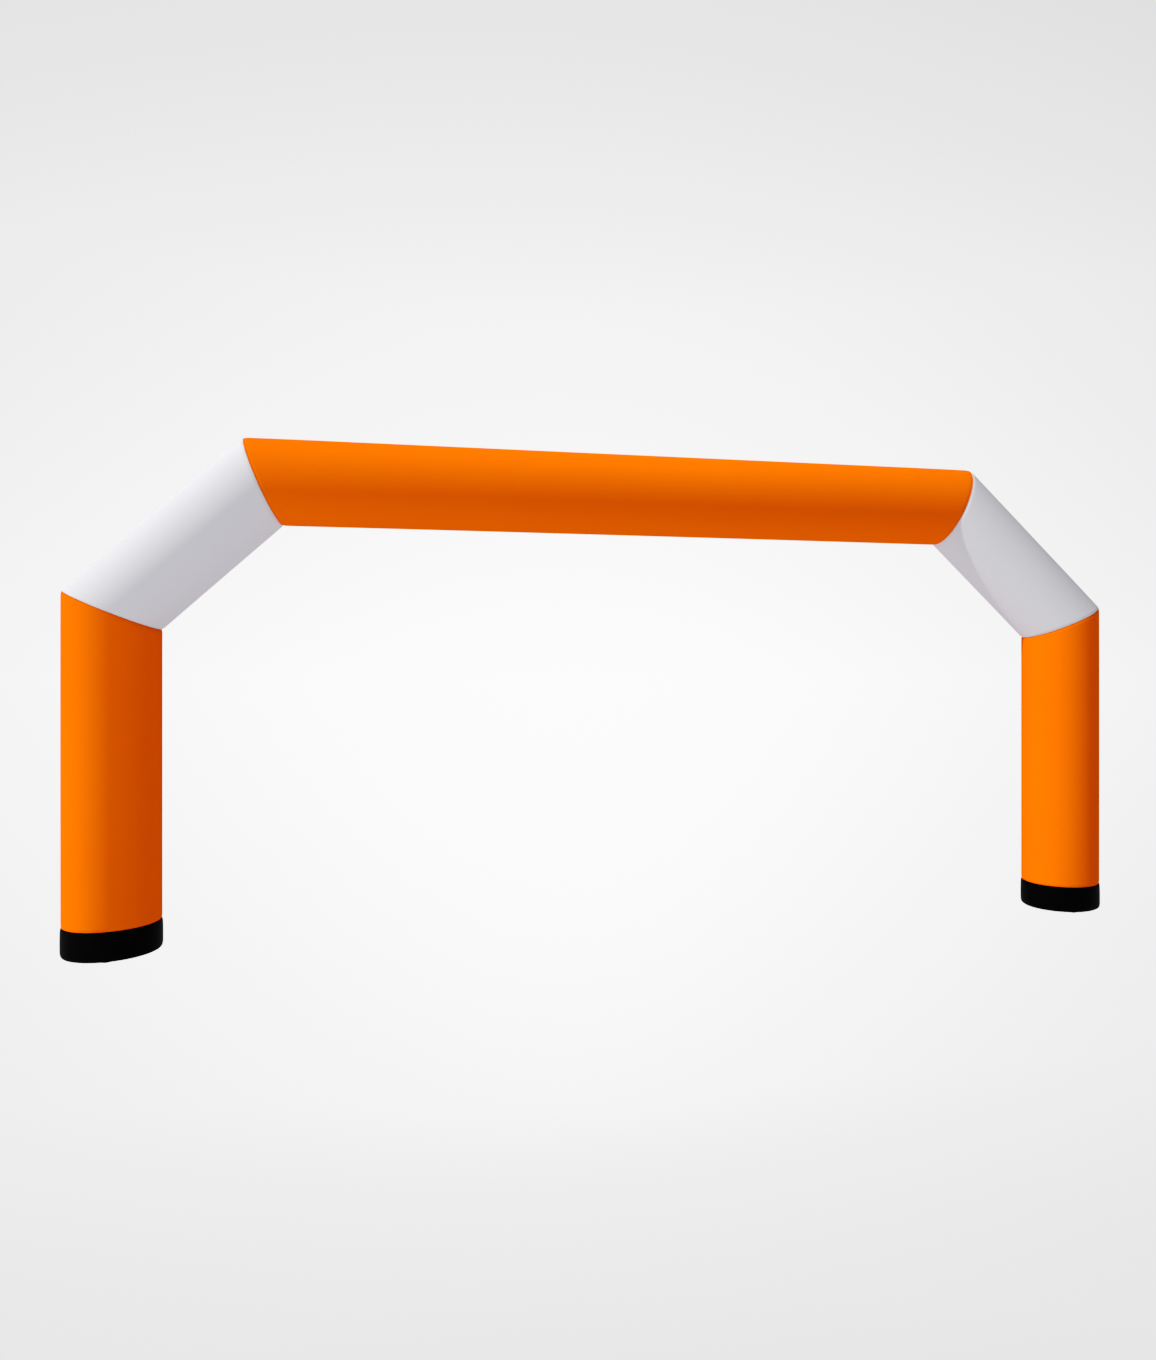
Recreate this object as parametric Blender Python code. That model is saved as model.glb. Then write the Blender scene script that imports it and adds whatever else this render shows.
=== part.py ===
"""An air-filled arch: five cloth tubes sewn end to end at mitred seams, on two heavier cloth feet.

X runs across the arch, Y through it and Z up. The origin is on the ground, halfway between the legs.
Sizes are in metres. Each sewn piece is one filled solid: it is full along its middle and drawn in at
its seams, where it meets the next piece face to face.
"""

import math

import bmesh
import bpy
from mathutils import Matrix, Vector

# Driving dimensions of the whole arch
ARCH_WIDTH = 7.00          # over the outsides of the legs
ARCH_HEIGHT = 3.20         # ground to the top of the crossbeam
TUBE_DIAMETER = 0.54       # every tube, at its fullest
KNEE_HEIGHT = 2.22         # ground to the outer corner, where leg and diagonal meet
BEAM_TOP_LENGTH = 4.92     # the crossbeam's upper side, between its two mitred seams
FOOT_HEIGHT = 0.18         # the heavier cloth cuff under each leg
GAP = 0.0003               # between neighbours that touch

TUBE_SIDES = 48            # faces round every tube and foot

# A tube's outline beside a seam: how far from the seam, and how much smaller the radius is there
SEAM_PROFILE = (
    # from_seam, drawn_in
    (0.000, 0.0085),
    (0.007, 0.0042),
    (0.018, 0.0020),
    (0.040, 0.0007),
    (0.080, 0.0000),
)

# The cuff's outline, from the ground up: height, how far it stands out past the tube, and how much
# the slack at its hem ripples there
CUFF_PROFILE = (
    # height, stands_out, ripple
    (0.000, -0.018, 0.0000),
    (0.003, -0.009, 0.0010),
    (0.010, -0.001, 0.0020),
    (0.024, 0.004, 0.0022),
    (0.055, 0.005, 0.0010),
    (0.110, 0.005, 0.0003),
    (0.155, 0.004, 0.0000),
    (0.172, 0.002, 0.0000),
    (FOOT_HEIGHT - GAP / 2, -0.003, 0.0000),
)
CUFF_RIPPLES = (
    # waves around the hem, share of the ripple
    (5, 0.5),
    (9, 0.3),
    (14, 0.2),
)

# Worked out from the sizes above
TUBE_RADIUS = TUBE_DIAMETER / 2
KNEE = Vector((ARCH_WIDTH / 2, 0, KNEE_HEIGHT))
SHOULDER = Vector((BEAM_TOP_LENGTH / 2, 0, ARCH_HEIGHT))

# sRGB colour, roughness
FINISHES = {
    "orange_polyester": ((1.00, 0.44, 0.01), 0.85),
    "white_polyester": ((0.92, 0.92, 0.94), 0.85),
    "black_pvc_cloth": ((0.03, 0.03, 0.03), 0.56),
}


def clear_scene():
    for thing in list(bpy.data.objects):
        bpy.data.objects.remove(thing)


def linear(channel):
    """An sRGB channel as the linear value that a shader takes."""
    if channel <= 0.04045:
        return channel / 12.92
    return ((channel + 0.055) / 1.055) ** 2.4


def finish(name):
    """The named cloth as a material, made on its first use."""
    material = bpy.data.materials.get(name)
    if material:
        return material
    colour, roughness = FINISHES[name]
    material = bpy.data.materials.new(name)
    material.use_nodes = True
    shader = material.node_tree.nodes["Principled BSDF"]
    shader.inputs["Base Color"].default_value = (*map(linear, colour), 1)
    shader.inputs["Roughness"].default_value = roughness
    shader.inputs["Metallic"].default_value = 0
    return material


def outer_corners(side):
    """The outer corners on one side, -1 or 1: foot, knee and shoulder."""
    foot = Vector((side * ARCH_WIDTH / 2, 0, FOOT_HEIGHT))
    knee = Vector((side * KNEE.x, 0, KNEE.z))
    shoulder = Vector((side * SHOULDER.x, 0, SHOULDER.z))
    return foot, knee, shoulder


def mitre_slope(before, corner, after):
    """How far a mitre leans: the way that its inner end falls back for each metre across the tube."""
    turn = (corner - before).angle(after - corner)
    return math.tan(turn / 2)


def tube_frame(start, end, inward):
    """Unit vectors along a tube and from its outer side straight across to its inner side."""
    along = (end - start).normalized()
    across = (inward - inward.project(along)).normalized()
    return along, across


def seam_ring(mesh, start_of_axis, along, across, slope, radius, shift):
    """Adds a ring round the tube's axis, leaning by slope, moved along the tube by shift."""
    through = along.cross(across)
    leaning = across + along * slope
    place = Matrix.Identity(4)
    for column, vector in enumerate((leaning, through, along)):
        place.col[column].xyz = vector
    place.col[3].xyz = start_of_axis + along * shift
    made = bmesh.ops.create_circle(mesh, cap_ends=False, segments=TUBE_SIDES, radius=radius, matrix=place)
    return made["verts"]


def edges_of(ring):
    return {edge for vertex in ring for edge in vertex.link_edges}


def skin(mesh, rings):
    """Bridges each ring to the next and closes both ends."""
    loops = [edges_of(ring) for ring in rings]
    for lower, upper in zip(loops, loops[1:]):
        bmesh.ops.bridge_loops(mesh, edges=list(lower | upper))
    for loop in (loops[0], loops[-1]):
        bmesh.ops.contextual_create(mesh, geom=list(loop))
    bmesh.ops.recalc_face_normals(mesh, faces=mesh.faces)


def add_piece(name, mesh, cloth):
    data = bpy.data.meshes.new(name)
    mesh.to_mesh(data)
    mesh.free()
    data.shade_smooth()
    data.set_sharp_from_angle(angle=math.radians(50))
    data.materials.append(finish(cloth))
    piece = bpy.data.objects.new(name, data)
    bpy.context.scene.collection.objects.link(piece)
    return piece


def add_tube(name, cloth, start, end, inward, start_slope, end_slope):
    """A filled tube between two outer corners. A slope is 0 for a square end."""
    along, across = tube_frame(start, end, inward)
    axis_start = start + across * TUBE_RADIUS
    length = (end - start).length
    # On the axis, a mitre is half a diameter's lean away from its outer corner.
    first = start_slope * TUBE_RADIUS + GAP / 2
    last = length - end_slope * TUBE_RADIUS - GAP / 2
    mesh = bmesh.new()
    rings = []
    for from_seam, drawn_in in SEAM_PROFILE:
        rings.append((start_slope, TUBE_RADIUS - drawn_in, first + from_seam))
    for from_seam, drawn_in in reversed(SEAM_PROFILE):
        rings.append((-end_slope, TUBE_RADIUS - drawn_in, last - from_seam))
    skin(mesh, [seam_ring(mesh, axis_start, along, across, *ring) for ring in rings])
    return add_piece(name, mesh, cloth)


def add_foot(name, side):
    """The cuff under a leg: a filled drum with a rounded, slightly rippled hem and a flat underside."""
    centre = Vector((side * (ARCH_WIDTH / 2 - TUBE_RADIUS), 0, 0))
    mesh = bmesh.new()
    rings = []
    for height, stands_out, ripple in CUFF_PROFILE:
        place = Matrix.Translation(centre + Vector((0, 0, height)))
        made = bmesh.ops.create_circle(
            mesh, cap_ends=False, segments=TUBE_SIDES, radius=TUBE_RADIUS + stands_out, matrix=place
        )
        for vertex in made["verts"]:
            out = (vertex.co - centre) * Vector((1, 1, 0))
            angle = math.atan2(out.y, out.x * side)
            wave = sum(share * math.sin(waves * angle + waves) for waves, share in CUFF_RIPPLES)
            vertex.co += out.normalized() * ripple * wave
        rings.append(made["verts"])
    skin(mesh, rings)
    return add_piece(name, mesh, "black_pvc_cloth")


def build_side(word, side):
    """The foot, leg and diagonal on one side."""
    foot, knee, shoulder = outer_corners(side)
    other_shoulder = outer_corners(-side)[2]
    inward = Vector((-side, 0, 0))
    down = Vector((0, 0, -1))
    knee_slope = mitre_slope(foot, knee, shoulder)
    shoulder_slope = mitre_slope(knee, shoulder, other_shoulder)
    add_foot(f"{word}_foot", side)
    add_tube(f"{word}_leg", "orange_polyester", foot, knee, inward, 0, knee_slope)
    add_tube(
        f"{word}_diagonal", "white_polyester", knee, shoulder, inward + down, knee_slope, shoulder_slope
    )
    return shoulder, shoulder_slope


def build_arch():
    left, slope = build_side("left", -1)
    right, _ = build_side("right", 1)
    down = Vector((0, 0, -1))
    add_tube("crossbeam", "orange_polyester", left, right, down, slope, slope)


clear_scene()
build_arch()
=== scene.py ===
# %% [markdown]
# # An air-filled arch, sewn from cloth
#
# Five cloth tubes and two heavier cuffs are sewn end to end, closed, and blown up with air. Nothing
# stiff is inside: the air stretches the cloth into round tubes, and the seams hold each corner.
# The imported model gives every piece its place. This script gives each its cloth, seams and finish.

# %% Load the frame
import math

import bpy
import numpy as np
from mathutils import Matrix, Vector, noise


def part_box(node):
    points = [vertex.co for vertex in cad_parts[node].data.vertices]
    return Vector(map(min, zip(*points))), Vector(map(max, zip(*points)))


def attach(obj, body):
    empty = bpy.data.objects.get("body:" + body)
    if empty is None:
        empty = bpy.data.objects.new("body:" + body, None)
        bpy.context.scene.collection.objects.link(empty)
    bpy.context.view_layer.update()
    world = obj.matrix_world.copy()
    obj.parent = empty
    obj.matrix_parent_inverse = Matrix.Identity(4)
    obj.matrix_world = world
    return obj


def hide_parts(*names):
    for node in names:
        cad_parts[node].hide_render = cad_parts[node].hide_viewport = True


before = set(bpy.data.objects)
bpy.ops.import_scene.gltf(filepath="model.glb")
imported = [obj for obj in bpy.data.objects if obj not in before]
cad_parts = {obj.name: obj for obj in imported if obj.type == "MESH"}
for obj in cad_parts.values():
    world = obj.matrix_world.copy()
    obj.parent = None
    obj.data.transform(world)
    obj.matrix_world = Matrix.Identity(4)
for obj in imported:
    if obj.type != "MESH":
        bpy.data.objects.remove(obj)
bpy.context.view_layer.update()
print("nodes:", ", ".join(sorted(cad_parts)))

# %% [markdown]
# ## Sizes
#
# All tubes are one roll of cloth wide, so they share one diameter, which a leg's box gives. The
# corners where the tubes meet are measured along the outside of the arch, as a pattern cutter
# would do it.

# %% Sizes, in metres
leg_low, leg_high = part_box("left_leg")
_, beam_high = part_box("crossbeam")
TUBE_RADIUS = (leg_high.x - leg_low.x) / 2
HALF_WIDTH = -leg_low.x
ARCH_HEIGHT = beam_high.z
KNEE_HEIGHT = 2.22         # where leg and diagonal meet, on the outside
HALF_BEAM_TOP = 2.46       # from the middle to the beam's upper corner
FOOT_HEIGHT = 0.18
GAP = 0.0003               # between neighbours that touch
print(f"tube {2 * TUBE_RADIUS:.3f} m, arch {2 * HALF_WIDTH:.2f} m wide, {ARCH_HEIGHT:.2f} m high")


def outer_corners(side):
    """Foot, knee and shoulder on one side's outside. side is -1 for the left, 1 for the right."""
    foot = Vector((side * HALF_WIDTH, 0, FOOT_HEIGHT))
    knee = Vector((side * HALF_WIDTH, 0, KNEE_HEIGHT))
    shoulder = Vector((side * HALF_BEAM_TOP, 0, ARCH_HEIGHT))
    return foot, knee, shoulder


# %% [markdown]
# ## The camera
#
# A standing adult's eye is about 1.67 m up, and looks level, so the legs stay upright in the
# picture. The lens is moderately wide. A small sideways shift puts the arch in the middle of the
# frame without turning the camera further, which keeps the left leg nearer than the right.

# %% Set up the camera
EYE = Vector((-0.924, -6.434, 1.674))
TURNED_RIGHT = math.radians(11.02)
LENS_MM = 25.19
SENSOR_MM = 36.0
SHIFT_LEFT = 0.0739        # as a share of the frame
FARTHEST_SEEN = 1000       # in metres, past the floor's nearest edge

camera_data = bpy.data.cameras.new("camera")
camera_data.lens = LENS_MM
camera_data.sensor_width = SENSOR_MM
camera_data.shift_x = -SHIFT_LEFT
camera_data.clip_end = FARTHEST_SEEN
camera = bpy.data.objects.new("camera", camera_data)
camera.location = EYE
camera.rotation_euler = (math.radians(90), 0, -TURNED_RIGHT)
bpy.context.scene.collection.objects.link(camera)
bpy.context.scene.camera = camera
print(f"camera at {tuple(round(c, 2) for c in EYE)}, {LENS_MM} mm")

# %% [markdown]
# ## Small helpers
#
# Colours are written as the hex values that a paint shop would quote, and Blender wants linear
# numbers, so one function turns them. Another adds a shader node with its settings and links.


# %% Colour and node helpers
def linear_channel(value):
    """One sRGB channel, 0 to 1, as linear light."""
    return value / 12.92 if value <= 0.04045 else ((value + 0.055) / 1.055) ** 2.4


def linear(hex_colour):
    """An sRGB hex colour as the linear RGBA that a socket takes."""
    channels = [int(hex_colour[i : i + 2], 16) / 255 for i in (1, 3, 5)]
    return (*map(linear_channel, channels), 1.0)


def add_node(tree, kind, inputs=(), **settings):
    """Adds a node with its settings, and fills its inputs with values or other nodes' outputs."""
    node = tree.nodes.new(kind)
    for setting, value in settings.items():
        setattr(node, setting, value)
    for socket, value in dict(inputs).items():
        if isinstance(value, bpy.types.NodeSocket):
            tree.links.new(value, node.inputs[socket])
        else:
            node.inputs[socket].default_value = value
    return node


def set_ramp(node, stops):
    """Gives a colour ramp its stops: position and grey value, smallest position first."""
    elements = node.color_ramp.elements
    while len(elements) < len(stops):
        elements.new(0.5)
    for element, (position, grey) in zip(elements, stops):
        element.position = position
        element.color = (grey, grey, grey, 1)


# %% [markdown]
# ## The stage
#
# A pale studio floor runs into a pale backdrop with no line between them. To the camera both are
# shadowless and show painted light: brightest behind the arch, and a little dimmer towards the
# viewer, the sides and overhead.
# Both are turned a few degrees to the right, the way that the camera looks. To the cloth they are
# two soft lights: a dim one from above, and a stronger one off the floor.

# %% Floor and backdrop
SKY_LIGHT = 0.20           # what the cloth receives from above and around
FLOOR_LIGHT = 0.71         # what the cloth receives from below
FLOOR_REACH = 900.0        # from its middle to its edges, in metres
POOL_CENTRE = (-0.65, -2.9)    # where the floor is halfway between near and far
POOL_SOFTNESS = 2.4        # how many metres the change there is spread over
SKY_SOFTNESS = 0.001       # keeps straight up from being a division by zero
STAGE_TURN = 0.075         # to the right, in radians
# Painted light: the stage is painted dimmer far to the left and right
SIDE_FALL = 0.28           # how much darker it is far to the left and right
FILL_TINT = "#F7F6FF"      # both soft lights are a trace cooler than the lamp

# The painted pool of light, from towards the viewer, 0, to away, 1
PAINTED_POOL_STOPS = ((0.0, 0.74), (0.20, 0.76), (0.27, 0.76), (0.36, 0.80), (0.55, 0.93), (1.0, 1.0))
# The backdrop's painted light, from level, 0, to straight up, 1
PAINTED_OVERHEAD_STOPS = ((0.0, 1.0), (0.36, 0.91), (0.575, 0.785), (1.0, 0.68))


def painted_stage_light(tree, x, y, softness):
    """The stage's painted light towards x and y: a ramp from near to far, less at the sides."""
    flat = add_node(tree, "ShaderNodeCombineXYZ", {"X": x, "Y": y})
    reach = add_node(tree, "ShaderNodeVectorMath", {0: flat.outputs[0]}, operation="LENGTH")
    soft = add_node(
        tree, "ShaderNodeMath", {0: reach.outputs["Value"], 1: softness}, operation="ADD"
    )
    part = add_node(tree, "ShaderNodeMath", {0: y, 1: soft.outputs[0]}, operation="DIVIDE")
    share = add_node(
        tree, "ShaderNodeMath", {0: part.outputs[0], 1: 0.5, 2: 0.5}, operation="MULTIPLY_ADD"
    )
    ramp = add_node(tree, "ShaderNodeValToRGB", {"Fac": share.outputs[0]})
    ramp.color_ramp.interpolation = "B_SPLINE"
    set_ramp(ramp, PAINTED_POOL_STOPS)
    side = add_node(tree, "ShaderNodeMath", {0: x, 1: soft.outputs[0]}, operation="DIVIDE")
    square = add_node(
        tree, "ShaderNodeMath", {0: side.outputs[0], 1: side.outputs[0]}, operation="MULTIPLY"
    )
    middle = add_node(
        tree,
        "ShaderNodeMath",
        {0: square.outputs[0], 1: -SIDE_FALL, 2: 1.0},
        operation="MULTIPLY_ADD",
    )
    level = add_node(
        tree,
        "ShaderNodeMix",
        {"Factor": 1.0, "A": ramp.outputs["Color"], "B": middle.outputs[0]},
        data_type="RGBA",
        blend_type="MULTIPLY",
    )
    return level.outputs["Result"]


def studio_backdrop():
    """The world: painted light to the camera, and a dim soft light to the cloth."""
    world = bpy.data.worlds.new("studio")
    bpy.context.scene.world = world
    world.use_nodes = True
    tree = world.node_tree
    tree.nodes.clear()
    where = add_node(tree, "ShaderNodeTexCoord")
    turned = add_node(
        tree,
        "ShaderNodeMapping",
        {"Vector": where.outputs["Generated"], "Rotation": (0, 0, STAGE_TURN)},
    )
    parts = add_node(tree, "ShaderNodeSeparateXYZ", {0: turned.outputs[0]})
    # Painted light on the backdrop: brightest behind the arch, dimmer towards the viewer, the sides
    # and overhead
    level = painted_stage_light(tree, parts.outputs["X"], parts.outputs["Y"], SKY_SOFTNESS)
    height = add_node(tree, "ShaderNodeValToRGB", {"Fac": parts.outputs["Z"]})
    set_ramp(height, PAINTED_OVERHEAD_STOPS)
    seen = add_node(
        tree,
        "ShaderNodeMix",
        {"Factor": 1.0, "A": level, "B": height.outputs["Color"]},
        data_type="RGBA",
        blend_type="MULTIPLY",
    )
    shown = add_node(tree, "ShaderNodeBackground", {"Color": seen.outputs["Result"]})
    fill = add_node(
        tree, "ShaderNodeBackground", {"Color": linear(FILL_TINT), "Strength": SKY_LIGHT}
    )
    path = add_node(tree, "ShaderNodeLightPath")
    both = add_node(
        tree,
        "ShaderNodeMixShader",
        {0: path.outputs["Is Camera Ray"], 1: fill.outputs[0], 2: shown.outputs[0]},
    )
    add_node(tree, "ShaderNodeOutputWorld", {0: both.outputs[0]})


def studio_floor():
    """A wide plane at ground level: a painted pool of light to the camera, and a soft light to the
    cloth.
    """
    bpy.ops.object.select_all(action="DESELECT")
    bpy.ops.mesh.primitive_plane_add(size=2 * FLOOR_REACH)
    floor = bpy.context.object
    floor.name = "floor"
    floor.location = (*POOL_CENTRE, 0)
    floor.rotation_euler.z = -STAGE_TURN
    material = bpy.data.materials.new("studio_floor_painted_light")
    material.use_nodes = True
    tree = material.node_tree
    tree.nodes.clear()
    where = add_node(tree, "ShaderNodeTexCoord")
    parts = add_node(tree, "ShaderNodeSeparateXYZ", {0: where.outputs["Object"]})
    # Painted pool of light on the floor: brightest behind the arch, dimmer towards the viewer and
    # the sides
    pale = painted_stage_light(tree, parts.outputs["X"], parts.outputs["Y"], POOL_SOFTNESS)
    shown = add_node(tree, "ShaderNodeEmission", {"Color": pale, "Strength": 1.0})
    fill = add_node(
        tree, "ShaderNodeEmission", {"Color": linear(FILL_TINT), "Strength": FLOOR_LIGHT}
    )
    path = add_node(tree, "ShaderNodeLightPath")
    both = add_node(
        tree,
        "ShaderNodeMixShader",
        {0: path.outputs["Is Camera Ray"], 1: fill.outputs[0], 2: shown.outputs[0]},
    )
    add_node(tree, "ShaderNodeOutputMaterial", {0: both.outputs[0]})
    floor.data.materials.append(material)


studio_backdrop()
studio_floor()
print(f"stage: a light of {SKY_LIGHT} from above and {FLOOR_LIGHT} off the floor")

# %% [markdown]
# ## The lamps
#
# The key lamp is high on the left and a little in front. It is small enough for the beam to throw
# a crisp shadow on the right diagonal. Two weak soft boxes help it: one at chest height rounds off
# the near leg, and one overhead spreads along the top of the beam. Neither is seen itself.

# %% Lamps
TOWARDS_KEY = Vector((-0.750, -0.227, 0.621))
KEY_STRENGTH = 0.78 * math.pi  # 0.78 of what makes a white card facing the lamp quite white
KEY_SIZE = math.radians(2.0)   # how wide the lamp looks from the arch

key_data = bpy.data.lights.new("key", "SUN")
key_data.energy = KEY_STRENGTH
key_data.angle = KEY_SIZE
key = bpy.data.objects.new("key", key_data)
key.rotation_euler = TOWARDS_KEY.to_track_quat("Z", "Y").to_euler()
bpy.context.scene.collection.objects.link(key)


def soft_box(name, place, target, side, watts):
    """A square soft light at place that faces target."""
    data = bpy.data.lights.new(name, "AREA")
    data.size = side
    data.energy = watts
    box = bpy.data.objects.new(name, data)
    box.location = place
    box.rotation_euler = (Vector(place) - Vector(target)).to_track_quat("Z", "Y").to_euler()
    box.visible_camera = False
    bpy.context.scene.collection.objects.link(box)


soft_box("chest_box", place=(-6.0, -5.0, 1.0), target=(-3.2, 0, 1.0), side=1.6, watts=64)
soft_box("overhead_box", place=(0, -1.0, 7.5), target=(0, 0, 3.0), side=5.0, watts=115)
print("key from", tuple(round(c, 2) for c in TOWARDS_KEY), "and two soft boxes")

# %% [markdown]
# ## The print
#
# The Standard view keeps the dye's full strength, which a filmic view would wash out. A print has
# more contrast in its darks than in its lights, so a curve, in linear light, lowers the deep tones
# a little and lifts the middle ones. That is what makes a strong dye glow on its lit side.

# %% Print curve
PRINT_CURVE = (
    # scene light, printed light
    (0.000, 0.000),
    (0.030, 0.018),
    (0.075, 0.062),
    (0.165, 0.200),
    (0.400, 0.470),
    (0.860, 0.860),
    (1.000, 0.985),
)

settings = bpy.context.scene.view_settings
settings.view_transform = "Standard"
settings.look = "None"
settings.use_curve_mapping = True
curve = settings.curve_mapping.curves[3]    # the one for all three colours together
while len(curve.points) < len(PRINT_CURVE):
    curve.points.new(0.5, 0.5)
for point, place in zip(curve.points, PRINT_CURVE):
    point.location = place
settings.curve_mapping.update()
print(f"print curve of {len(curve.points)} points")

# %% [markdown]
# ## Woven polyester
#
# The tubes are plain-woven polyester, dyed through and quite matt: the tight weave gives a flat,
# even colour with no gloss, even where a lamp grazes it. The pattern follows the cloth, so it
# reads the piece's own map, laid out in metres round and along the tube.

# %% Polyester cloth
THREAD_SPACING = 0.0022    # the real threads are 0.45 mm apart, which is too fine to show
SLUB_SIZE = 0.05           # length of the slightly thicker runs in a thread
SLUB_HEIGHT = 1.5          # how far a slub stands up, in heights of one thread over another
THREAD_RELIEF = 0.00015    # that height, in metres
THREAD_RELIEF_SHOWN = 0.35     # the share of it that the light picks up
DYE_PATCH = 0.45           # size of the faint patches where the dye took unevenly
MATT_ROUGHNESS = (0.80, 0.90)
CLOTH_MAP = "cloth"


def woven_polyester(name, colour, deeper):
    """Plain-woven polyester in one dye. deeper is that dye where it took more strongly."""
    material = bpy.data.materials.new(name)
    material.use_nodes = True
    tree = material.node_tree
    shader = tree.nodes["Principled BSDF"]
    shader.inputs["Specular IOR Level"].default_value = 0.0

    cloth = add_node(tree, "ShaderNodeUVMap", uv_map=CLOTH_MAP)
    body = add_node(tree, "ShaderNodeTexCoord")

    dye = add_node(
        tree,
        "ShaderNodeTexNoise",
        {"Vector": body.outputs["Object"], "Scale": 1 / DYE_PATCH, "Detail": 3.0},
    )
    mixed = add_node(
        tree,
        "ShaderNodeMix",
        {"Factor": dye.outputs["Fac"], "A": linear(colour), "B": linear(deeper)},
        data_type="RGBA",
    )
    tree.links.new(mixed.outputs["Result"], shader.inputs["Base Color"])

    # Over and under: a thread's height is a wave each way, and two threads make one repeat
    turns = add_node(
        tree,
        "ShaderNodeVectorMath",
        {0: cloth.outputs["UV"], 1: (math.pi / THREAD_SPACING,) * 3},
        operation="MULTIPLY",
    )
    each = add_node(tree, "ShaderNodeSeparateXYZ", {0: turns.outputs[0]})
    warp = add_node(tree, "ShaderNodeMath", {0: each.outputs["X"]}, operation="SINE")
    weft = add_node(tree, "ShaderNodeMath", {0: each.outputs["Y"]}, operation="SINE")
    weave = add_node(
        tree, "ShaderNodeMath", {0: warp.outputs[0], 1: weft.outputs[0]}, operation="MULTIPLY"
    )
    slub_place = add_node(
        tree,
        "ShaderNodeMapping",
        {"Vector": cloth.outputs["UV"], "Scale": (1 / THREAD_SPACING, 1 / SLUB_SIZE, 1)},
    )
    slub = add_node(tree, "ShaderNodeTexNoise", {"Vector": slub_place.outputs[0], "Scale": 1.0})
    height = add_node(
        tree,
        "ShaderNodeMath",
        {0: slub.outputs["Fac"], 1: SLUB_HEIGHT, 2: weave.outputs[0]},
        operation="MULTIPLY_ADD",
    )
    bump = add_node(
        tree,
        "ShaderNodeBump",
        {
            "Height": height.outputs[0],
            "Strength": THREAD_RELIEF_SHOWN,
            "Distance": THREAD_RELIEF,
        },
    )
    tree.links.new(bump.outputs["Normal"], shader.inputs["Normal"])

    smoothest, roughest = MATT_ROUGHNESS
    rough = add_node(
        tree,
        "ShaderNodeMapRange",
        {"Value": slub.outputs["Fac"], "To Min": smoothest, "To Max": roughest},
    )
    tree.links.new(rough.outputs[0], shader.inputs["Roughness"])
    return material


ORANGE = woven_polyester("orange_woven_polyester", "#FF7002", "#FD6C02")
WHITE = woven_polyester("white_woven_polyester", "#E1E1E3", "#DFDFE1")
print("cloth:", ORANGE.name, WHITE.name)

# %% [markdown]
# ## Coated cuff cloth and thread
#
# Each leg stands on a cuff of heavier black cloth. Its yarn is coated with soft PVC, which fills
# the weave: a fine leathery grain with a trace of wide gloss. The sewing thread is bonded
# polyester, in the colour of the cloth that it holds.

# %% Coated cloth and thread
GRAIN_SIZE = 0.003         # the real grain is 0.6 mm, which is too fine to show
GRAIN_RELIEF = 0.0003
GRAIN_RELIEF_SHOWN = 0.4
COATED_ROUGHNESS = (0.50, 0.62)
PLY_PITCH = 0.0012         # one turn of the thread's twist
PLY_RELIEF = 0.0002
PLY_RELIEF_SHOWN = 0.5


def coated_cloth(name, colour):
    """Cloth of PVC-coated yarn, pressed to a leathery grain."""
    material = bpy.data.materials.new(name)
    material.use_nodes = True
    tree = material.node_tree
    shader = tree.nodes["Principled BSDF"]
    shader.inputs["Base Color"].default_value = linear(colour)
    shader.inputs["IOR"].default_value = 1.52
    shader.inputs["Specular IOR Level"].default_value = 0.03
    body = add_node(tree, "ShaderNodeTexCoord")
    grain = add_node(
        tree,
        "ShaderNodeTexNoise",
        {"Vector": body.outputs["Object"], "Scale": 1 / GRAIN_SIZE, "Detail": 2.0},
    )
    bump = add_node(
        tree,
        "ShaderNodeBump",
        {
            "Height": grain.outputs["Fac"],
            "Strength": GRAIN_RELIEF_SHOWN,
            "Distance": GRAIN_RELIEF,
        },
    )
    tree.links.new(bump.outputs["Normal"], shader.inputs["Normal"])
    smoothest, roughest = COATED_ROUGHNESS
    rough = add_node(
        tree,
        "ShaderNodeMapRange",
        {"Value": grain.outputs["Fac"], "To Min": smoothest, "To Max": roughest},
    )
    tree.links.new(rough.outputs[0], shader.inputs["Roughness"])
    return material


def bonded_thread(name, colour, darker):
    """Twisted polyester thread with a thin bonding, so each ply catches a small light."""
    material = bpy.data.materials.new(name)
    material.use_nodes = True
    tree = material.node_tree
    shader = tree.nodes["Principled BSDF"]
    shader.inputs["IOR"].default_value = 1.5
    shader.inputs["Specular IOR Level"].default_value = 0.1
    shader.inputs["Roughness"].default_value = 0.45
    body = add_node(tree, "ShaderNodeTexCoord")
    plies = add_node(
        tree,
        "ShaderNodeTexNoise",
        {"Vector": body.outputs["Object"], "Scale": 1 / PLY_PITCH, "Detail": 1.0},
    )
    mixed = add_node(
        tree,
        "ShaderNodeMix",
        {"Factor": plies.outputs["Fac"], "A": linear(colour), "B": linear(darker)},
        data_type="RGBA",
    )
    tree.links.new(mixed.outputs["Result"], shader.inputs["Base Color"])
    bump = add_node(
        tree,
        "ShaderNodeBump",
        {
            "Height": plies.outputs["Fac"],
            "Strength": PLY_RELIEF_SHOWN,
            "Distance": PLY_RELIEF,
        },
    )
    tree.links.new(bump.outputs["Normal"], shader.inputs["Normal"])
    return material


BLACK = coated_cloth("black_pvc_coated_cloth", "#030303")
ORANGE_THREAD = bonded_thread("orange_bonded_thread", "#F07002", "#D05A02")
WHITE_THREAD = bonded_thread("white_bonded_thread", "#E4E3E8", "#CFCED4")
BLACK_THREAD = bonded_thread("black_bonded_thread", "#101010", "#060606")
print("cuffs:", BLACK.name, "and three colours of thread")

# %% [markdown]
# ## A tube before it is blown up
#
# A tube starts as a plain open cylinder, longer than needed. Two planes cut it off, one at each
# seam, just as a mitre is cut. Both tubes at a corner are cut on the same plane, which is what
# makes their edges match. Then it is divided into a net that is fine enough for the cloth solver.

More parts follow.
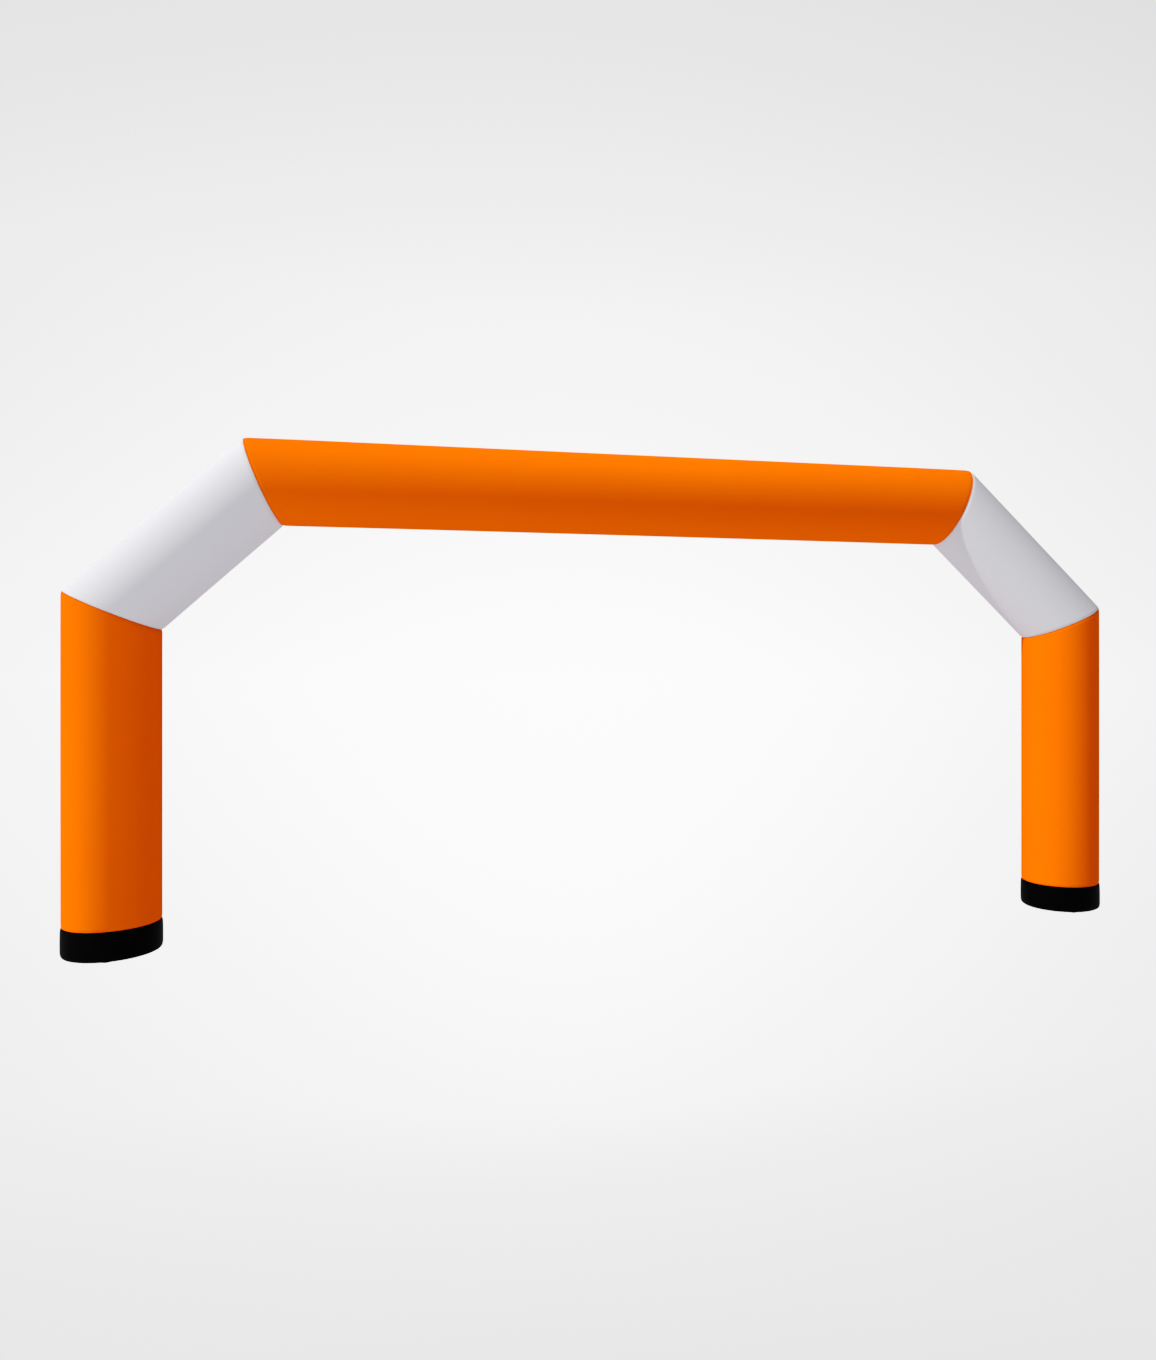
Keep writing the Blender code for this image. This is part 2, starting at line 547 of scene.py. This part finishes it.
# %% Cut a tube
TUBE_SIDES = 96
RING_PITCH = 0.022         # between the net's rings, away from the seams
RINGS_BY_SEAM = (0.0035, 0.007, 0.012, 0.019, 0.029, 0.044, 0.066)     # distances from a seam
MOST_CUTS = 100            # that Subdivide makes at once
SPARE = 0.8                # at each end, before the cylinder is cut off
LONG_EDGE = 0.2            # only the edges from one seam's rings to the other's are longer


def select_only(piece):
    bpy.ops.object.select_all(action="DESELECT")
    piece.select_set(True)
    bpy.context.view_layer.objects.active = piece


def mitre(before, corner, after):
    """The plane of the seam at a corner: a point on it, and its normal, along the arch."""
    normal = (corner - before).normalized() + (after - corner).normalized()
    return corner, normal.normalized()


def cut_with(point, normal, clear=None):
    """Cuts the mesh in edit mode with a plane, and clears one side of it if asked."""
    bpy.ops.mesh.select_all(action="SELECT")
    bpy.ops.mesh.bisect(
        plane_co=point,
        plane_no=normal,
        clear_inner=clear == "before",
        clear_outer=clear == "after",
    )


def tube_axis(start, end, inward):
    """A point on the tube's axis, and unit vectors along it and across to its inner side."""
    along = (end - start).normalized()
    across = (inward - inward.project(along)).normalized()
    return start + across * TUBE_RADIUS, along, across


def cut_tube(name, start, end, inward, first_seam, last_seam):
    """An open tube with its origin at the world's, cut at both seams and divided into a net."""
    origin, along, across = tube_axis(start, end, inward)
    turn = Matrix((across, along.cross(across), along)).transposed()
    length = (end - start).length
    bpy.ops.object.select_all(action="DESELECT")
    bpy.ops.mesh.primitive_cylinder_add(
        vertices=TUBE_SIDES,
        radius=TUBE_RADIUS,
        depth=length + 2 * SPARE,
        end_fill_type="NOTHING",
        location=origin + along * length / 2,
        rotation=turn.to_euler(),
    )
    tube = bpy.context.object
    tube.name = name
    bpy.ops.object.transform_apply(location=True, rotation=True, scale=True)
    bpy.ops.object.mode_set(mode="EDIT")
    for (point, normal), into, clear in ((first_seam, 1, "before"), (last_seam, -1, "after")):
        cut_with(point + normal * into * GAP / 2, normal, clear)
        for distance in RINGS_BY_SEAM:
            cut_with(point + normal * into * distance, normal)
    bpy.ops.mesh.select_mode(type="EDGE")
    bpy.ops.mesh.select_all(action="DESELECT")
    bpy.ops.object.mode_set(mode="OBJECT")
    points = [vertex.co for vertex in tube.data.vertices]
    for edge in tube.data.edges:
        first, last = edge.vertices
        edge.select = (points[first] - points[last]).length > LONG_EDGE
    bpy.ops.object.mode_set(mode="EDIT")
    bpy.ops.mesh.subdivide(number_cuts=min(round(length / RING_PITCH), MOST_CUTS))
    bpy.ops.object.mode_set(mode="OBJECT")
    return tube


# %% [markdown]
# ## Blowing it up
#
# Air presses every patch of cloth outwards until the weave is tight. Blender's cloth solver does
# the same: the seams are pinned where the thread draws them in, and pressure fills the rest. The
# cloth hardly stretches, so the tube ends up straight, with only a trace of unevenness.

# %% Inflate a tube
SEAM_DEPTH = 0.0085        # how far the thread draws the cloth in at a seam
ROW_FROM_SEAM = 0.007      # the topstitching runs this far from the seam
ROW_DEPTH = 0.0042         # and draws the cloth in by this much
ON_RING = 0.0002           # a point this near a ring's plane is on the ring
AIR_FRAMES = 14            # of the solver, which is when the tube is full
MOST_MOVE = 0.0025         # of one point, so that neighbours stay clear of each other


def read_points(mesh):
    """A mesh's points as an array with a row for each."""
    points = np.empty(len(mesh.vertices) * 3, np.float32)
    mesh.vertices.foreach_get("co", points)
    return points.reshape(-1, 3).astype(float)


def write_points(mesh, points):
    mesh.vertices.foreach_set("co", points.astype(np.float32).ravel())
    mesh.update()


def from_axis(points, origin, along):
    """How far each point is along the tube, and the vector out to it from the axis."""
    offset = points - np.array(origin)
    distance = offset @ np.array(along)
    return distance, offset - np.outer(distance, np.array(along))


def draw_in(points, origin, along, seams):
    """Moves the cloth in to where the thread holds it, and says which points the thread holds."""
    moved = points.copy()
    held = np.zeros(len(points), bool)
    _, out = from_axis(points, origin, along)
    for point, normal in seams:
        height = (points - np.array(point)) @ np.array(normal)
        for distance, depth in ((GAP / 2, SEAM_DEPTH), (ROW_FROM_SEAM, ROW_DEPTH)):
            ring = abs(abs(height) - distance) < ON_RING
            smaller = points[ring] - out[ring] * depth / TUBE_RADIUS
            # A mitred ring slides along the tube, so that it stays in the seam's plane
            slip = (smaller - points[ring]) @ np.array(normal) / along.dot(normal)
            moved[ring] = smaller - np.outer(slip, np.array(along))
            held |= ring
    return moved, held


def inflate(tube, origin, along, seams, closing):
    """Pins the seams, fills the tube with air, and keeps the shape that it settles to."""
    mesh = tube.data
    flat = read_points(mesh)
    start, held = draw_in(flat, origin, along, seams)
    _, out = from_axis(flat, origin, along)
    on_closing = out @ np.array(closing) > TUBE_RADIUS * math.cos(math.pi / TUBE_SIDES)
    held |= on_closing
    tube.shape_key_add(name="Basis")
    tube.shape_key_add(name="as_cut")
    keys = mesh.shape_keys.key_blocks
    keys["Basis"].data.foreach_set("co", start.astype(np.float32).ravel())
    write_points(mesh, start)
    pins = tube.vertex_groups.new(name="sewn")
    pins.add([int(i) for i in np.flatnonzero(held)], 1.0, "REPLACE")
    air = tube.modifiers.new("air", "CLOTH")
    cloth = air.settings
    cloth.use_pressure = True
    cloth.uniform_pressure_force = 4.0
    cloth.mass = 0.15
    cloth.tension_stiffness = 40.0
    cloth.compression_stiffness = 10.0
    cloth.shear_stiffness = 5.0
    cloth.bending_stiffness = 0.3
    cloth.tension_damping = 10.0
    cloth.compression_damping = 10.0
    cloth.air_damping = 2.0
    cloth.quality = 8
    cloth.effector_weights.gravity = 0.0
    cloth.vertex_group_mass = "sewn"
    cloth.rest_shape_key = keys["as_cut"]
    air.point_cache.frame_start = 1
    air.point_cache.frame_end = AIR_FRAMES
    air.collision_settings.use_collision = False
    for number in range(1, AIR_FRAMES + 1):
        bpy.context.scene.frame_set(number)
    select_only(tube)
    bpy.ops.object.convert(target="MESH")
    mesh = tube.data
    settled = read_points(mesh)
    move = settled - start
    size = np.linalg.norm(move, axis=1)
    share = np.minimum(1, MOST_MOVE / np.maximum(size, 1e-9))
    write_points(mesh, start + move * share[:, None])
    bpy.context.scene.frame_set(1)


# %% [markdown]
# ## Finishing a tube
#
# The solver's net is smoothed once. The seam's pull leaves small puckers beside it. Then the ends
# are closed, and the cloth gets its map, so that the weave runs round and along the tube.

# %% Finish a tube
PUCKER_HEIGHT = 0.0004
PUCKER_LENGTH = 0.035      # from the seam to where a pucker has faded to a third
PUCKER_WIDTH = 0.045       # round the tube
PUCKERS_END = 5 * PUCKER_LENGTH
NEXT_TUBE = 17.0           # steps in the noise that make each tube's puckers
NEXT_SEAM = 29.0           # and each seam's its own
SMOOTH_BELOW = math.radians(60)    # a sharper corner stays an edge


def pucker(mesh, origin, along, seams, seed):
    """Raises faint radial puckers beside each seam, uneven round the tube."""
    points = read_points(mesh)
    _, out = from_axis(points, origin, along)
    radius = np.linalg.norm(out, axis=1)
    outward = out / radius[:, None]
    lift = np.zeros(len(points))
    for number, (point, normal) in enumerate(seams):
        away = abs((points - np.array(point)) @ np.array(normal))
        near = np.flatnonzero(away < PUCKERS_END)
        for index in near:
            place = Vector(outward[index]) * (TUBE_RADIUS / PUCKER_WIDTH)
            place += Vector((seed * NEXT_TUBE, number * NEXT_SEAM, 0))
            wave = noise.noise(place) * 2
            fade = math.exp(-away[index] / PUCKER_LENGTH) * min(1, away[index] / ROW_FROM_SEAM)
            lift[index] += PUCKER_HEIGHT * wave * fade
    write_points(mesh, points + outward * lift[:, None])


def smooth_once(piece):
    smooth = piece.modifiers.new("smooth", "SUBSURF")
    smooth.levels = 1
    smooth.render_levels = 1
    select_only(piece)
    bpy.ops.object.modifier_apply(modifier=smooth.name)


def close_ends(piece):
    """Puts a flat face over each open end."""
    select_only(piece)
    bpy.ops.object.mode_set(mode="EDIT")
    bpy.ops.mesh.select_mode(type="EDGE")
    bpy.ops.mesh.select_all(action="DESELECT")
    bpy.ops.mesh.select_non_manifold()
    bpy.ops.mesh.edge_face_add()
    bpy.ops.mesh.select_all(action="SELECT")
    bpy.ops.mesh.normals_make_consistent(inside=False)
    bpy.ops.object.mode_set(mode="OBJECT")


def lay_map(mesh, origin, along, across):
    """Lays the cloth's map in metres: round the tube, and along it."""
    points = read_points(mesh)
    distance, out = from_axis(points, origin, along)
    through = np.array(along.cross(across))
    angle = np.arctan2(out @ through, out @ np.array(across))
    corner = np.empty(len(mesh.loops), np.int32)
    mesh.loops.foreach_get("vertex_index", corner)
    turned = angle[corner]
    starts = np.empty(len(mesh.polygons), np.int32)
    mesh.polygons.foreach_get("loop_start", starts)
    face = np.repeat(np.arange(len(starts)), np.diff(np.append(starts, len(corner))))
    # A face on the line where the angle jumps by a whole turn keeps to one side of the jump
    first = turned[starts][face]
    turned = np.where(turned - first > math.pi, turned - 2 * math.pi, turned)
    turned = np.where(turned - first < -math.pi, turned + 2 * math.pi, turned)
    while mesh.uv_layers:
        mesh.uv_layers.remove(mesh.uv_layers[0])
    layer = mesh.uv_layers.new(name=CLOTH_MAP)
    uv = np.stack([turned * TUBE_RADIUS, distance[corner]], 1)
    layer.uv.foreach_set("vector", uv.astype(np.float32).ravel())


def sewn_tube(name, slot, material, start, end, inward, first_seam, last_seam, closing, seed):
    """One tube, cut, blown up and finished. closing is the side that its long seam is on."""
    tube = cut_tube(name, start, end, inward, first_seam, last_seam)
    origin, along, across = tube_axis(start, end, inward)
    seams = (first_seam, last_seam)
    inflate(tube, origin, along, seams, closing)
    smooth_once(tube)
    pucker(tube.data, origin, along, seams, seed)
    close_ends(tube)
    lay_map(tube.data, origin, along, across)
    tube.data.materials.clear()
    tube.data.materials.append(material)
    bpy.ops.object.shade_smooth_by_angle(angle=SMOOTH_BELOW)
    node = name.replace("_cloth", "")
    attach(tube, "root")
    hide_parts(node)
    radius = np.linalg.norm(from_axis(read_points(tube.data), origin, along)[1], axis=1)
    print(f"{name}: {len(tube.data.polygons)} faces, out to {radius.max() * 1000:.1f} mm")
    return tube


# %% [markdown]
# ## The five tubes
#
# A tube of flat cloth is closed by one long seam. It is kept to the back, where it shows least.

# %% Sew the tubes
BACK = Vector((0, 1, 0))
DOWN = Vector((0, 0, -1))
UP = Vector((0, 0, 1))

sewn = []                  # each tube with what its stitching needs


def sew(name, slot, cloth, thread, start, end, inward, seams, seed):
    """Makes one tube and notes it for its stitching."""
    tube = sewn_tube(f"{name}_cloth", slot, cloth, start, end, inward, *seams, BACK, seed)
    sewn.append((tube, slot, thread, start, end, inward, seams))


def sew_side(word, side, seed):
    """One side's leg and diagonal. Gives back the shoulder and its seam, for the crossbeam."""
    foot, knee, shoulder = outer_corners(side)
    other_shoulder = outer_corners(-side)[2]
    inward = Vector((-side, 0, 0))
    foot_seam = (foot, UP)
    knee_seam = mitre(foot, knee, shoulder)
    shoulder_seam = mitre(knee, shoulder, other_shoulder)
    sew(
        f"{word}_leg",
        "orange_polyester",
        ORANGE,
        ORANGE_THREAD,
        foot,
        knee,
        inward,
        (foot_seam, knee_seam),
        seed,
    )
    sew(
        f"{word}_diagonal",
        "white_polyester",
        WHITE,
        WHITE_THREAD,
        knee,
        shoulder,
        inward + DOWN,
        (knee_seam, shoulder_seam),
        seed + 1,
    )
    return shoulder, shoulder_seam


left_shoulder, left_seam = sew_side("left", -1, 1)
right_shoulder, right_seam = sew_side("right", 1, 3)
# Along the beam, the right seam's normal points the other way
beam_seams = (left_seam, (right_seam[0], -right_seam[1]))
sew(
    "crossbeam",
    "orange_polyester",
    ORANGE,
    ORANGE_THREAD,
    left_shoulder,
    right_shoulder,
    DOWN,
    beam_seams,
    5,
)

# %% [markdown]
# ## The cuffs
#
# Each leg is sewn into a cuff of coated cloth, which takes the wear on the ground. Its hem is
# turned under and drawn in, so the lower edge is round and a little slack: it ripples, and one lump
# stands out where the hem's two ends lap over each other. A cylinder gives the start. It is cut
# into rings, close together where the outline turns, and each ring is then moved to the outline.

# %% Make a cuff
CUFF_SIDES = 144
CUFF_PROFILE = (
    # height, stands out past the tube, ripple
    (0.0000, -0.0180, 0.0000),
    (0.0012, -0.0128, 0.0005),
    (0.0030, -0.0090, 0.0010),
    (0.0060, -0.0045, 0.0016),
    (0.0100, -0.0010, 0.0020),
    (0.0150, 0.0018, 0.0022),
    (0.0190, 0.0026, 0.0022),
    (0.0210, 0.0020, 0.0022),
    (0.0230, 0.0034, 0.0022),
    (0.0300, 0.0045, 0.0019),
    (0.0420, 0.0050, 0.0014),
    (0.0550, 0.0050, 0.0010),
    (0.0800, 0.0052, 0.0006),
    (0.1100, 0.0050, 0.0003),
    (0.1350, 0.0047, 0.0001),
    (0.1550, 0.0040, 0.0000),
    (0.1630, 0.0034, 0.0000),
    (0.1660, 0.0021, 0.0000),
    (0.1690, 0.0026, 0.0000),
    (0.1740, 0.0014, 0.0000),
    (0.1780, -0.0008, 0.0000),
    (FOOT_HEIGHT - GAP / 2, -0.0030, 0.0000),
)
CUFF_RIPPLES = ((5, 0.5), (9, 0.3), (14, 0.2))    # waves round the hem, share of the ripple
HEM_ROW = 0.021                # height of the hem's stitching
TOP_ROW = 0.166                # and of the stitching that joins the leg
CREASE_HEIGHT = 0.0012
CREASES_START = 0.001          # heights above the ground: they begin here,
CREASES_FULL = 0.008           # are at their full depth here,
CREASES_FADE = 0.045           # have faded to a third here,
CREASES_END = 0.12             # and end here
CREASES_ROUND = 6              # how often they come round the cuff, in the noise's own units
CREASES_UP = 18                # and up it, for each metre
NEXT_CUFF = 9                  # a step in the noise that makes each cuff's creases its own
LUMP_TURN = math.radians(12)   # from the front, towards the other leg
LUMP_HALF_WIDTH = 0.016
LUMP_DEPTH = 0.017             # how far it stands out
LUMP_TOP = 0.025


def cut_cuff(name, centre):
    """A closed drum, cut into rings at the outline's heights."""
    top = CUFF_PROFILE[-1][0]
    bpy.ops.object.select_all(action="DESELECT")
    bpy.ops.mesh.primitive_cylinder_add(
        vertices=CUFF_SIDES,
        radius=TUBE_RADIUS,
        depth=top,
        end_fill_type="TRIFAN",
        location=centre + Vector((0, 0, top / 2)),
    )
    cuff = bpy.context.object
    cuff.name = name
    bpy.ops.object.transform_apply(location=True, rotation=True, scale=True)
    bpy.ops.object.mode_set(mode="EDIT")
    for height, _, _ in CUFF_PROFILE[1:-1]:
        cut_with(Vector((0, 0, height)), Vector((0, 0, 1)))
    bpy.ops.object.mode_set(mode="OBJECT")
    return cuff


def shape_cuff(mesh, centre, side, seed):
    """Moves the wall out to the outline, with the hem's ripples, creases and lump."""
    points = read_points(mesh)
    heights, stands_out, ripples = (np.array(column) for column in zip(*CUFF_PROFILE))
    out = points - np.array(centre)
    out[:, 2] = 0
    radius = np.linalg.norm(out, axis=1)
    wall = radius > TUBE_RADIUS / 2
    outward = out / np.maximum(radius, 1e-9)[:, None]
    height = points[:, 2]
    angle = np.arctan2(out[:, 1], out[:, 0] * side)
    waves = sum(share * np.sin(count * angle + count) for count, share in CUFF_RIPPLES)
    lift = np.interp(height, heights, stands_out) + np.interp(height, heights, ripples) * waves
    # The lump is low on the front, a little towards the middle of the arch
    from_lump = np.arctan2(-out[:, 0] * side, -out[:, 1]) - LUMP_TURN
    across = from_lump * TUBE_RADIUS / LUMP_HALF_WIDTH
    lift += LUMP_DEPTH * np.exp(-across * across) * np.clip(1 - height / LUMP_TOP, 0, 1) ** 2
    for index in np.flatnonzero(wall & (height > CREASES_START) & (height < CREASES_END)):
        place = Vector(
            (
                outward[index, 0] * CREASES_ROUND,
                outward[index, 1] * CREASES_ROUND,
                height[index] * CREASES_UP + seed * NEXT_CUFF,
            )
        )
        fade = math.exp(-height[index] / CREASES_FADE) * min(1, height[index] / CREASES_FULL)
        lift[index] += CREASE_HEIGHT * noise.noise(place) * fade
    points[wall] += outward[wall] * lift[wall, None]
    write_points(mesh, points)


def sewn_cuff(word, side, seed):
    """One cuff, cut, shaped and finished."""
    centre = Vector((side * (HALF_WIDTH - TUBE_RADIUS), 0, 0))
    cuff = cut_cuff(f"{word}_cuff_cloth", centre)
    shape_cuff(cuff.data, centre, side, seed)
    smooth_once(cuff)
    bpy.ops.object.mode_set(mode="EDIT")
    bpy.ops.mesh.select_all(action="SELECT")
    bpy.ops.mesh.normals_make_consistent(inside=False)
    bpy.ops.object.mode_set(mode="OBJECT")
    # Smoothing may not take the cloth into the ground or the leg
    points = read_points(cuff.data)
    points[:, 2] = np.clip(points[:, 2], 0, CUFF_PROFILE[-1][0])
    write_points(cuff.data, points)
    cuff.data.materials.clear()
    cuff.data.materials.append(BLACK)
    bpy.ops.object.shade_smooth_by_angle(angle=SMOOTH_BELOW)
    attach(cuff, "root")
    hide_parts(f"{word}_foot")
    print(f"{cuff.name}: {len(cuff.data.polygons)} faces")
    return cuff


left_cuff = sewn_cuff("left", -1, 1)
right_cuff = sewn_cuff("right", 1, 2)

# %% [markdown]
# ## Stitching
#
# A lockstitch shows as a row of short, fat dashes of thread, each pulled a little into the cloth.
# One stitch is modelled, an Array repeats it, and a Curve modifier bends the row round the tube.
# At a mitre that curve is a circle, stretched into the oval that the slanting cut makes.

# %% Sew the rows
STITCH_PITCH = 0.006
STITCH_LENGTH = 0.0044
STITCH_WIDTH = 0.0013
STITCH_HEIGHT = 0.0010
CLOSING_MARGIN = 0.012     # from the end of the closing seam's row to the row round the tube
SAME_RING = 0.0006         # points whose distances from a plane differ by less are on one ring


def new_stitch():
    """One stitch along X, flattened against the cloth, which lies below it in -Y."""
    bpy.ops.object.select_all(action="DESELECT")
    bpy.ops.mesh.primitive_uv_sphere_add(
        segments=5,
        ring_count=4,
        radius=0.5,
        scale=(STITCH_LENGTH, STITCH_HEIGHT, STITCH_WIDTH),
    )
    stitch = bpy.context.object
    bpy.ops.object.transform_apply(location=True, rotation=True, scale=True)
    return stitch


def repeat(stitch, count, pitch):
    """Makes a row of count stitches along X."""
    row = stitch.modifiers.new("row", "ARRAY")
    row.count = count
    row.use_relative_offset = False
    row.use_constant_offset = True
    row.constant_offset_displace = (pitch, 0, 0)
    row.use_merge_vertices = False
    bpy.ops.object.modifier_apply(modifier=row.name)


def row_round(centre, normal, stretch, radius):
    """A row of stitches round a tube, in a plane whose normal lies in XZ."""
    lean = math.atan2(normal.x, normal.z)
    bpy.ops.object.select_all(action="DESELECT")
    bpy.ops.curve.primitive_bezier_circle_add(
        radius=radius, location=centre, rotation=(0, lean, 0)
    )
    path = bpy.context.object
    path.data.resolution_u = 48    # fine enough for a stitch at a time
    path.scale.x = stretch
    bpy.context.view_layer.update()
    place = path.matrix_world.copy()
    round_length = path.data.splines[0].calc_length()
    count = round(round_length / STITCH_PITCH)
    stitch = new_stitch()
    repeat(stitch, count, round_length / count)
    stitch.matrix_world = place
    bend = stitch.modifiers.new("round", "CURVE")
    bend.object = path
    bend.deform_axis = "POS_X"
    bpy.ops.object.modifier_apply(modifier=bend.name)
    bpy.ops.object.transform_apply(location=True, rotation=True, scale=True)
    bpy.data.objects.remove(path)
    return stitch


def row_along(start, end, outward):
    """A straight row of stitches from start to end, lying on cloth that faces outward."""
    along = (end - start).normalized()
    count = int((end - start).length / STITCH_PITCH)
    stitch = new_stitch()
    repeat(stitch, count, STITCH_PITCH)
    turn = Matrix((along, outward, along.cross(outward))).transposed().to_4x4()
    turn.translation = start
    stitch.matrix_world = turn
    bpy.ops.object.transform_apply(location=True, rotation=True, scale=True)
    return stitch


def join_rows(name, rows, thread):
    """Makes one piece of several rows."""
    bpy.ops.object.select_all(action="DESELECT")
    for row in rows:
        row.select_set(True)
    bpy.context.view_layer.objects.active = rows[0]
    bpy.ops.object.join()
    stitching = rows[0]
    stitching.name = name
    stitching.data.materials.clear()
    stitching.data.materials.append(thread)
    bpy.ops.object.shade_smooth()
    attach(stitching, "root")
    print(f"{name}: {len(stitching.data.polygons)} faces")
    return stitching


def radius_at(mesh, origin, along, point, normal):
    """How far the cloth is from the axis, on average, where a plane crosses it."""
    points = read_points(mesh)
    radius = np.linalg.norm(from_axis(points, origin, along)[1], axis=1)
    away = abs((points - np.array(point)) @ np.array(normal))
    away[radius < TUBE_RADIUS / 2] = 1     # leaves out the middle of a cuff's closed ends
    return float(radius[away < away.min() + SAME_RING].mean())


def radius_towards(mesh, origin, along, direction):
    """How far the cloth is from the axis, on average, along its line that faces one direction."""
    _, out = from_axis(read_points(mesh), origin, along)
    radius = np.linalg.norm(out, axis=1)
    facing = out @ np.array(direction) > radius * math.cos(math.pi / TUBE_SIDES / 2)
    return float(radius[facing].mean())


def stitch_tube(tube, thread, start, end, inward, seams, closing):
    """Rows beside both seams of a tube, and one along its closing seam."""
    origin, along, _ = tube_axis(start, end, inward)
    rows = []
    crossings = []
    for (point, normal), into in zip(seams, (1, -1)):
        if normal.dot(along) < 0:
            normal = -normal
        plane = point + normal * into * ROW_FROM_SEAM
        centre = origin + along * ((plane - origin).dot(normal) / along.dot(normal))
        crossings.append((point - origin).dot(normal) / along.dot(normal))
        radius = radius_at(tube.data, origin, along, plane, normal)
        rows.append(row_round(centre, normal, 1 / along.dot(normal), radius))
    margin = CLOSING_MARGIN + ROW_FROM_SEAM
    first = origin + along * (crossings[0] + margin)
    last = origin + along * (crossings[1] - margin)
    radius = radius_towards(tube.data, origin, along, closing)
    rows.append(row_along(first + closing * radius, last + closing * radius, closing))
    return join_rows(tube.name.replace("_cloth", "_stitching"), rows, thread)


def stitch_cuff(cuff, side):
    """The hem's row and the row that joins the leg."""
    centre = Vector((side * (HALF_WIDTH - TUBE_RADIUS), 0, 0))
    rows = []
    for height in (HEM_ROW, TOP_ROW):
        middle = centre + UP * height
        rows.append(row_round(middle, UP, 1.0, radius_at(cuff.data, centre, UP, middle, UP)))
    name = cuff.name.replace("_cloth", "_stitching")
    return join_rows(name, rows, BLACK_THREAD)


for tube, slot, thread, start, end, inward, seams in sewn:
    stitch_tube(tube, thread, start, end, inward, seams, BACK)
stitch_cuff(left_cuff, -1)
stitch_cuff(right_cuff, 1)
